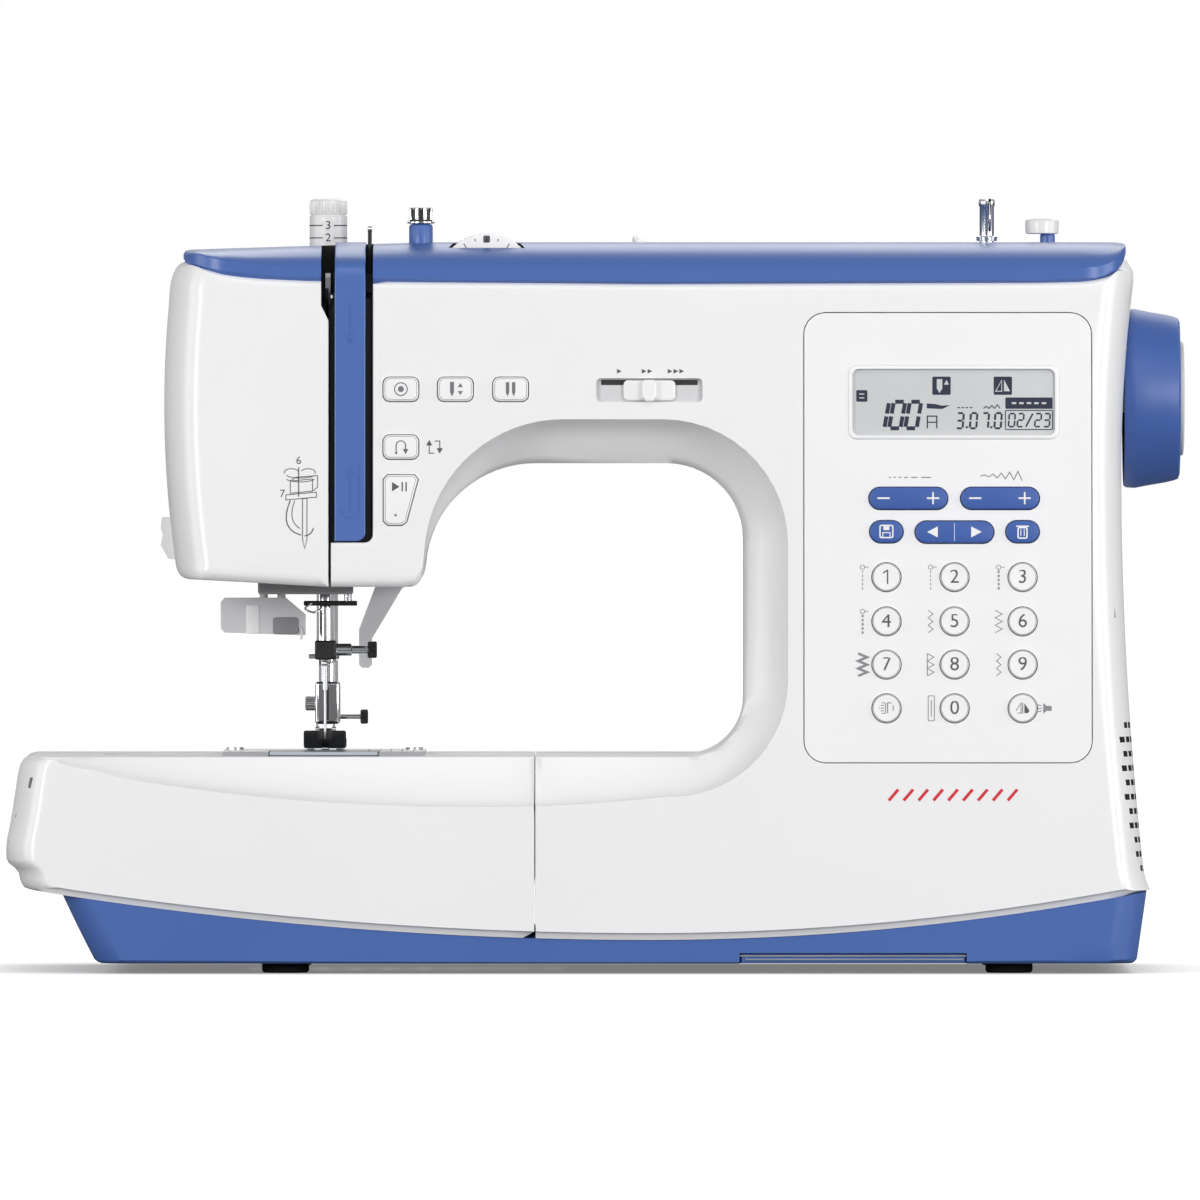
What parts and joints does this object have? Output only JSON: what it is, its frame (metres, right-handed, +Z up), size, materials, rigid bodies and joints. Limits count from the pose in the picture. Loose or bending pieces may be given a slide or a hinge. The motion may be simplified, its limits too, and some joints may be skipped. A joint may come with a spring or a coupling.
{
  "type": "sewing machine",
  "caption": "Computerised domestic sewing machine with a slide-off extension table, number keypad, small display, needle threader and side handwheel.",
  "frame": {"origin": "middle of the footprint box, on the surface that the feet stand on", "axes": "+X from the extension table to the handwheel, +Y from the operator's side to the back, +Z up"},
  "size_m": [0.4256, 0.1683, 0.279],
  "materials": {
    "white_plastic": "satin moulded ABS with a fine grain",
    "panel_plastic": "matt moulded plastic",
    "blue_plastic": "satin blue moulded ABS",
    "grey_plastic": "matt grey plastic",
    "black_plastic": "matt black plastic",
    "black_rubber": "moulded rubber",
    "chrome": "polished plating",
    "steel": "ground steel",
    "cast_frame": "as cast",
    "dark_metal": "satin black paint",
    "lcd_glass": "clear window over a grey LCD",
    "clear_plastic": "smoked clear plastic"
  },
  "bodies": {
    "machine_body": {"base_tray": "blue_plastic", "rubber_feet": "black_rubber", "chassis": "cast_frame", "front_shell": "white_plastic", "rear_shell": "white_plastic", "face_cover": "white_plastic", "top_cover": "blue_plastic", "thread_guide": "blue_plastic", "control_panel": "panel_plastic", "lcd_display": "lcd_glass", "free_arm_cover": "white_plastic", "needle_plate": "steel", "casing_screws": "steel", "power_inlet": "black_plastic", "main_motor": "dark_metal", "thread_posts": "chrome"},
    "drive_shaft": {"handwheel": "blue_plastic", "main_shaft": "steel"},
    "motor_pulley": {"motor_pulley": "steel"},
    "rotary_hook": {"rotary_hook": "steel"},
    "bobbin": {"bobbin": "clear_plastic"},
    "bobbin_cover": {"bobbin_cover": "clear_plastic"},
    "needle_bar_frame": {"needle_bar_frame": "cast_frame"},
    "presser_bar": {"presser_bar": "chrome"},
    "presser_foot": {"presser_foot": "black_plastic"},
    "lifter_lever": {"lifter_lever": "grey_plastic"},
    "needle_threader": {"needle_threader": "grey_plastic"},
    "take_up_lever": {"take_up_lever": "chrome"},
    "tension_dial": {"tension_dial": "white_plastic"},
    "pressure_dial": {"pressure_dial": "white_plastic"},
    "speed_slider": {"speed_slider": "white_plastic"},
    "extension_table": {"extension_table": "white_plastic"},
    "carry_handle": {"carry_handle": "white_plastic"},
    "winder_spindle": {"winder_spindle": "chrome"},
    "power_switch": {"power_switch": "black_plastic"},
    "feed_dog": {"feed_dog": "steel"},
    "needle_bar": {"needle_bar": "chrome", "needle": "steel"},
    "key_1": {"key_1": "panel_plastic"},
    "key_2": {"key_2": "panel_plastic"},
    "key_3": {"key_3": "panel_plastic"},
    "key_4": {"key_4": "panel_plastic"},
    "key_5": {"key_5": "panel_plastic"},
    "key_6": {"key_6": "panel_plastic"},
    "key_7": {"key_7": "panel_plastic"},
    "key_8": {"key_8": "panel_plastic"},
    "key_9": {"key_9": "panel_plastic"},
    "key_mode": {"key_mode": "panel_plastic"},
    "key_0": {"key_0": "panel_plastic"},
    "key_mirror": {"key_mirror": "panel_plastic"},
    "key_length": {"key_length": "blue_plastic"},
    "key_width": {"key_width": "blue_plastic"},
    "key_save": {"key_save": "blue_plastic"},
    "key_cursor": {"key_cursor": "blue_plastic"},
    "key_delete": {"key_delete": "blue_plastic"},
    "button_lock_stitch": {"button_lock_stitch": "panel_plastic"},
    "button_needle_up_down": {"button_needle_up_down": "panel_plastic"},
    "button_twin_needle": {"button_twin_needle": "panel_plastic"},
    "button_reverse": {"button_reverse": "panel_plastic"},
    "button_start_stop": {"button_start_stop": "panel_plastic"}
  },
  "joints": [
    {"name": "shaft_spin", "type": "hinge", "parent": "machine_body", "child": "drive_shaft", "pos_m": [0.2, 0, 0.2066], "axis": [1, 0, 0], "continuous": true},
    {"name": "motor_spin", "type": "hinge", "parent": "machine_body", "child": "motor_pulley", "pos_m": [0.175, 0, 0.042], "axis": [1, 0, 0], "continuous": true},
    {"name": "hook_spin", "type": "hinge", "parent": "machine_body", "child": "rotary_hook", "pos_m": [-0.0983, -0.0185, 0.06], "axis": [0, 0, 1], "continuous": true},
    {"name": "bobbin_spin", "type": "hinge", "parent": "machine_body", "child": "bobbin", "pos_m": [-0.0983, -0.0185, 0.065], "axis": [0, 0, 1], "continuous": true},
    {"name": "bobbin_cover_slide", "type": "slide", "parent": "machine_body", "child": "bobbin_cover", "axis": [0, -1, 0], "range_m": [0, 0.04]},
    {"name": "zigzag_swing", "type": "hinge", "parent": "machine_body", "child": "needle_bar_frame", "pos_m": [-0.0983, 0, 0.238], "axis": [0, 1, 0], "range_deg": [-1.25, 1.25]},
    {"name": "needle_bar_stroke", "type": "slide", "parent": "needle_bar_frame", "child": "needle_bar", "axis": [0, 0, 1], "range_m": [-0.018, 0.012]},
    {"name": "presser_lift", "type": "slide", "parent": "machine_body", "child": "presser_bar", "axis": [0, 0, 1], "range_m": [0, 0.006]},
    {"name": "lifter_raise", "type": "hinge", "parent": "machine_body", "child": "lifter_lever", "pos_m": [-0.0709, 0.05, 0.147], "axis": [0, -1, 0], "range_deg": [0, 70]},
    {"name": "foot_tip", "type": "hinge", "parent": "presser_bar", "child": "presser_foot", "pos_m": [-0.0983, 0.01, 0.086], "axis": [-1, 0, 0], "range_deg": [0, 15]},
    {"name": "threader_push", "type": "slide", "parent": "machine_body", "child": "needle_threader", "axis": [0, 0, -1], "range_m": [0, 0.024], "stiffness_N_per_m": 20, "springref_m": -0.01},
    {"name": "take_up_swing", "type": "hinge", "parent": "machine_body", "child": "take_up_lever", "pos_m": [-0.0967, -0.03, 0.232], "axis": [1, 0, 0], "range_deg": [0, 30]},
    {"name": "tension_turn", "type": "hinge", "parent": "machine_body", "child": "tension_dial", "pos_m": [-0.0396, -0.04, 0.2484], "axis": [0, -1, 0], "range_deg": [-140, 140]},
    {"name": "pressure_push", "type": "slide", "parent": "machine_body", "child": "pressure_dial", "axis": [0, 0, -1], "range_m": [0, 0.008]},
    {"name": "speed_slide", "type": "slide", "parent": "machine_body", "child": "speed_slider", "axis": [1, 0, 0], "range_m": [-0.009, 0.009]},
    {"name": "table_slide", "type": "slide", "parent": "machine_body", "child": "extension_table", "axis": [-1, 0, 0], "range_m": [0, 0.2]},
    {"name": "handle_fold", "type": "hinge", "parent": "machine_body", "child": "carry_handle", "pos_m": [0.035, 0.052, 0.238], "axis": [1, 0, 0], "range_deg": [0, 170]},
    {"name": "winder_engage", "type": "slide", "parent": "machine_body", "child": "winder_spindle", "axis": [1, 0, 0], "range_m": [0, 0.006]},
    {"name": "power_rock", "type": "hinge", "parent": "machine_body", "child": "power_switch", "pos_m": [0.188, 0.025, 0.08], "axis": [0, 1, 0], "range_deg": [0, 16]},
    {"name": "feed_travel", "type": "slide", "parent": "machine_body", "child": "feed_dog", "axis": [0, 1, 0], "range_m": [-0.0025, 0.0025]},
    {"name": "key_1_press", "type": "slide", "parent": "machine_body", "child": "key_1", "axis": [0, 0.995, -0.0995], "range_m": [0, 0.0008], "stiffness_N_per_m": 200},
    {"name": "key_2_press", "type": "slide", "parent": "machine_body", "child": "key_2", "axis": [0, 0.995, -0.0995], "range_m": [0, 0.0008], "stiffness_N_per_m": 200},
    {"name": "key_3_press", "type": "slide", "parent": "machine_body", "child": "key_3", "axis": [0, 0.995, -0.0995], "range_m": [0, 0.0008], "stiffness_N_per_m": 200},
    {"name": "key_4_press", "type": "slide", "parent": "machine_body", "child": "key_4", "axis": [0, 0.995, -0.0995], "range_m": [0, 0.0008], "stiffness_N_per_m": 200},
    {"name": "key_5_press", "type": "slide", "parent": "machine_body", "child": "key_5", "axis": [0, 0.995, -0.0995], "range_m": [0, 0.0008], "stiffness_N_per_m": 200},
    {"name": "key_6_press", "type": "slide", "parent": "machine_body", "child": "key_6", "axis": [0, 0.995, -0.0995], "range_m": [0, 0.0008], "stiffness_N_per_m": 200},
    {"name": "key_7_press", "type": "slide", "parent": "machine_body", "child": "key_7", "axis": [0, 0.995, -0.0995], "range_m": [0, 0.0008], "stiffness_N_per_m": 200},
    {"name": "key_8_press", "type": "slide", "parent": "machine_body", "child": "key_8", "axis": [0, 0.995, -0.0995], "range_m": [0, 0.0008], "stiffness_N_per_m": 200},
    {"name": "key_9_press", "type": "slide", "parent": "machine_body", "child": "key_9", "axis": [0, 0.995, -0.0995], "range_m": [0, 0.0008], "stiffness_N_per_m": 200},
    {"name": "key_mode_press", "type": "slide", "parent": "machine_body", "child": "key_mode", "axis": [0, 0.995, -0.0995], "range_m": [0, 0.0008], "stiffness_N_per_m": 200},
    {"name": "key_0_press", "type": "slide", "parent": "machine_body", "child": "key_0", "axis": [0, 0.995, -0.0995], "range_m": [0, 0.0008], "stiffness_N_per_m": 200},
    {"name": "key_mirror_press", "type": "slide", "parent": "machine_body", "child": "key_mirror", "axis": [0, 0.995, -0.0995], "range_m": [0, 0.0008], "stiffness_N_per_m": 200},
    {"name": "key_length_rock", "type": "hinge", "parent": "machine_body", "child": "key_length", "pos_m": [0.1123, -0.06422, 0.17063], "axis": [0, 0.0995, 0.995], "range_deg": [-3, 3], "stiffness_Nm_per_rad": 0.05},
    {"name": "key_width_rock", "type": "hinge", "parent": "machine_body", "child": "key_width", "pos_m": [0.1453, -0.06422, 0.17063], "axis": [0, 0.0995, 0.995], "range_deg": [-3, 3], "stiffness_Nm_per_rad": 0.05},
    {"name": "key_cursor_rock", "type": "hinge", "parent": "machine_body", "child": "key_cursor", "pos_m": [0.1289, -0.06543, 0.15849], "axis": [0, 0.0995, 0.995], "range_deg": [-3, 3], "stiffness_Nm_per_rad": 0.05},
    {"name": "key_save_press", "type": "slide", "parent": "machine_body", "child": "key_save", "axis": [0, 0.995, -0.0995], "range_m": [0, 0.0008], "stiffness_N_per_m": 200},
    {"name": "key_delete_press", "type": "slide", "parent": "machine_body", "child": "key_delete", "axis": [0, 0.995, -0.0995], "range_m": [0, 0.0008], "stiffness_N_per_m": 200},
    {"name": "button_lock_stitch_press", "type": "slide", "parent": "machine_body", "child": "button_lock_stitch", "axis": [0, 0.995, -0.0995], "range_m": [0, 0.0008], "stiffness_N_per_m": 200},
    {"name": "button_needle_up_down_press", "type": "slide", "parent": "machine_body", "child": "button_needle_up_down", "axis": [0, 0.995, -0.0995], "range_m": [0, 0.0008], "stiffness_N_per_m": 200},
    {"name": "button_twin_needle_press", "type": "slide", "parent": "machine_body", "child": "button_twin_needle", "axis": [0, 0.995, -0.0995], "range_m": [0, 0.0008], "stiffness_N_per_m": 200},
    {"name": "button_reverse_press", "type": "slide", "parent": "machine_body", "child": "button_reverse", "axis": [0, 0.995, -0.0995], "range_m": [0, 0.0008], "stiffness_N_per_m": 200},
    {"name": "button_start_stop_press", "type": "slide", "parent": "machine_body", "child": "button_start_stop", "axis": [0, 0.995, -0.0995], "range_m": [0, 0.001], "stiffness_N_per_m": 200}
  ],
  "couplings": [
    {"joint": "motor_spin", "follows": "shaft_spin", "ratio": 3},
    {"joint": "hook_spin", "follows": "shaft_spin", "ratio": 2},
    {"joint": "lifter_raise", "follows": "presser_lift", "rad_per_m": 203.62}
  ]
}
